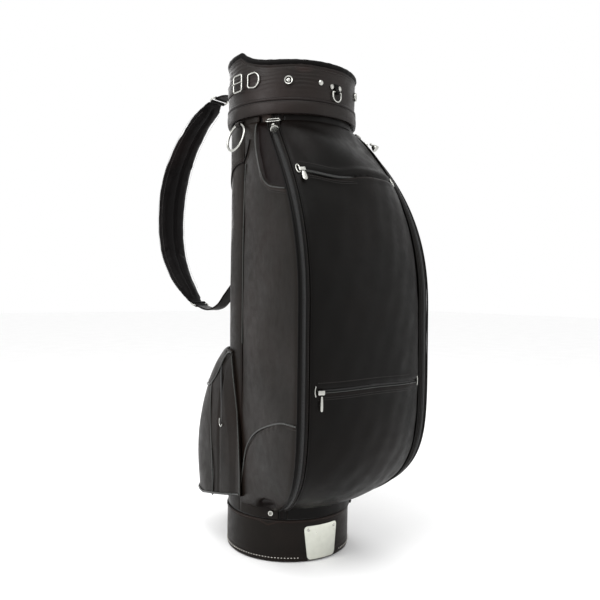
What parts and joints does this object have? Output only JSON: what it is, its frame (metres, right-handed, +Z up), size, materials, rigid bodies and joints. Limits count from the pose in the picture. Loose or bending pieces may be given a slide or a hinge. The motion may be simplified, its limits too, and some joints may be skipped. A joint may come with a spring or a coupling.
{
  "type": "golf staff bag",
  "caption": "Tall round golf bag with a divided top, a stiff base cup, a bulging front pocket, zipped side and rear pockets, and a padded shoulder strap on metal links.",
  "frame": {"origin": "centre of the base's flat underside, on the club tube's axis", "axes": "+Z up along the club tube; -Y faces the big front pocket, +Y the spine and the shoulder strap; -X is the bag's left"},
  "size_m": [0.31, 0.657, 0.94],
  "materials": {
    "body_leather": "smooth very dark brown leather, semi-matt",
    "front_leather": "smooth near-black leather, semi-matt",
    "strap_leather": "soft near-black leather with a red-brown cast",
    "rim_padding": "soft padded black leather",
    "nickel": "polished nickel plate",
    "badge_steel": "finely brushed plate",
    "base_plastic": "matt black moulding",
    "tube_board": "plain dark board",
    "lining": "dark brown woven lining"
  },
  "bodies": {
    "bag": {"badge_plate": "badge_steel", "badge_rivet_left": "nickel", "badge_rivet_right": "nickel", "base_cup": "base_plastic", "base_sleeve": "body_leather", "buckle_frame": "nickel", "club_tube": "tube_board", "cuff_band": "body_leather", "cuff_belt": "body_leather", "cuff_collar": "base_plastic", "cuff_cover": "body_leather", "cuff_rivet_1": "nickel", "cuff_rivet_2": "nickel", "cuff_rivet_3": "nickel", "divider_centre_front": "lining", "divider_centre_middle": "lining", "divider_centre_rear": "lining", "divider_top": "rim_padding", "divider_wall_front": "lining", "divider_wall_rear": "lining", "front_panel": "front_leather", "gusset_left": "front_leather", "gusset_right": "front_leather", "pocket_shelf": "lining", "pocket_wall_left": "lining", "pocket_wall_right": "lining", "rear_pocket": "body_leather", "rim_roll": "rim_padding", "side_panel_left": "body_leather", "side_panel_right": "body_leather", "side_ring_tab_left": "body_leather", "side_ring_tab_right": "body_leather", "side_zip_end_ring_left": "nickel", "side_zip_end_ring_right": "nickel", "snap_left": "nickel", "snap_right": "nickel", "spine_panel": "body_leather", "strap_lower_anchor": "nickel", "strap_upper_anchor": "nickel", "towel_ring_tab": "body_leather"},
    "strap": {"shoulder_strap": "strap_leather", "strap_upper_link": "nickel", "strap_lower_link": "nickel", "strap_upper_tab": "strap_leather", "strap_lower_tab": "strap_leather"},
    "side_ring_left": {"side_ring_left": "nickel"},
    "side_ring_right": {"side_ring_right": "nickel"},
    "towel_ring": {"towel_ring": "nickel"},
    "keeper_ring": {"keeper_ring": "nickel"},
    "buckle_prong": {"buckle_prong": "nickel"},
    "upper_zip_slider": {"upper_zip_slider": "nickel"},
    "upper_zip_pull": {"upper_zip_pull": "nickel"},
    "lower_zip_slider": {"lower_zip_slider": "nickel"},
    "lower_zip_pull": {"lower_zip_pull": "nickel"},
    "side_zip_slider_left": {"side_zip_slider_left": "nickel"},
    "bell_pull_left": {"bell_pull_left": "nickel"},
    "side_zip_slider_right": {"side_zip_slider_right": "nickel"},
    "bell_pull_right": {"bell_pull_right": "nickel"},
    "rear_zip_slider": {"rear_zip_slider": "nickel"},
    "rear_zip_pull": {"rear_zip_pull": "nickel"}
  },
  "joints": [
    {"name": "strap_swing", "type": "hinge", "parent": "bag", "child": "strap", "pos_m": [0, 0.1375, 0.53], "axis": [0, 0, 1], "range_deg": [-72, 48]},
    {"name": "side_ring_left_swing", "type": "hinge", "parent": "bag", "child": "side_ring_left", "pos_m": [-0.12625, 0, 0.806], "axis": [0, 1, 0], "range_deg": [-9, 95]},
    {"name": "side_ring_right_swing", "type": "hinge", "parent": "bag", "child": "side_ring_right", "pos_m": [0.12625, 0, 0.806], "axis": [0, -1, 0], "range_deg": [-9, 95]},
    {"name": "towel_ring_swing", "type": "hinge", "parent": "bag", "child": "towel_ring", "pos_m": [0.00582, -0.12817, 0.8625], "axis": [-0.999, -0.0454, 0], "range_deg": [0, 110]},
    {"name": "keeper_ring_swing", "type": "hinge", "parent": "bag", "child": "keeper_ring", "pos_m": [-0.12448, -0.02551, 0.8815], "axis": [0, 0, -1], "range_deg": [0, 120]},
    {"name": "buckle_prong_swing", "type": "hinge", "parent": "bag", "child": "buckle_prong", "pos_m": [-0.13051, 0.01186, 0.8815], "axis": [0, 0, -1], "range_deg": [0, 90]},
    {"name": "upper_zip_travel", "type": "hinge", "parent": "bag", "child": "upper_zip_slider", "pos_m": [0, 0.0873, 0.7], "axis": [0, 0, 1], "range_deg": [0, 45]},
    {"name": "upper_zip_pull_swing", "type": "hinge", "parent": "upper_zip_slider", "child": "upper_zip_pull", "pos_m": [-0.11046, -0.17425, 0.69771], "axis": [-0.9366, 0.3342, -0.1054], "range_deg": [0, 150]},
    {"name": "lower_zip_travel", "type": "hinge", "parent": "bag", "child": "lower_zip_slider", "pos_m": [0, 0.15685, 0.33], "axis": [0, 0, 1], "range_deg": [0, 32]},
    {"name": "lower_zip_pull_swing", "type": "hinge", "parent": "lower_zip_slider", "child": "lower_zip_pull", "pos_m": [-0.11396, -0.23249, 0.32451], "axis": [-0.9597, 0.2809, 0.0005], "range_deg": [0, 150]},
    {"name": "side_zip_left_travel", "type": "slide", "parent": "bag", "child": "side_zip_slider_left", "axis": [-0.2391, -0.6485, -0.7227], "range_m": [0, 0.03]},
    {"name": "bell_pull_left_swing", "type": "hinge", "parent": "side_zip_slider_left", "child": "bell_pull_left", "pos_m": [-0.11991, -0.10005, 0.78929], "axis": [-0.7784, 0.5928, -0.2066], "range_deg": [0, 120]},
    {"name": "side_zip_right_travel", "type": "slide", "parent": "bag", "child": "side_zip_slider_right", "axis": [0.2391, -0.6485, -0.7227], "range_m": [0, 0.03]},
    {"name": "bell_pull_right_swing", "type": "hinge", "parent": "side_zip_slider_right", "child": "bell_pull_right", "pos_m": [0.11991, -0.10005, 0.78929], "axis": [-0.7784, -0.5928, 0.2066], "range_deg": [0, 120]},
    {"name": "rear_zip_travel", "type": "slide", "parent": "bag", "child": "rear_zip_slider", "axis": [-0.0353, -0.015, 0.9993], "range_m": [0, 0.045]},
    {"name": "rear_zip_pull_swing", "type": "hinge", "parent": "rear_zip_slider", "child": "rear_zip_pull", "pos_m": [0.13252, 0.05426, 0.22476], "axis": [0.0257, -0.9996, -0.009], "range_deg": [0, 150]}
  ]
}
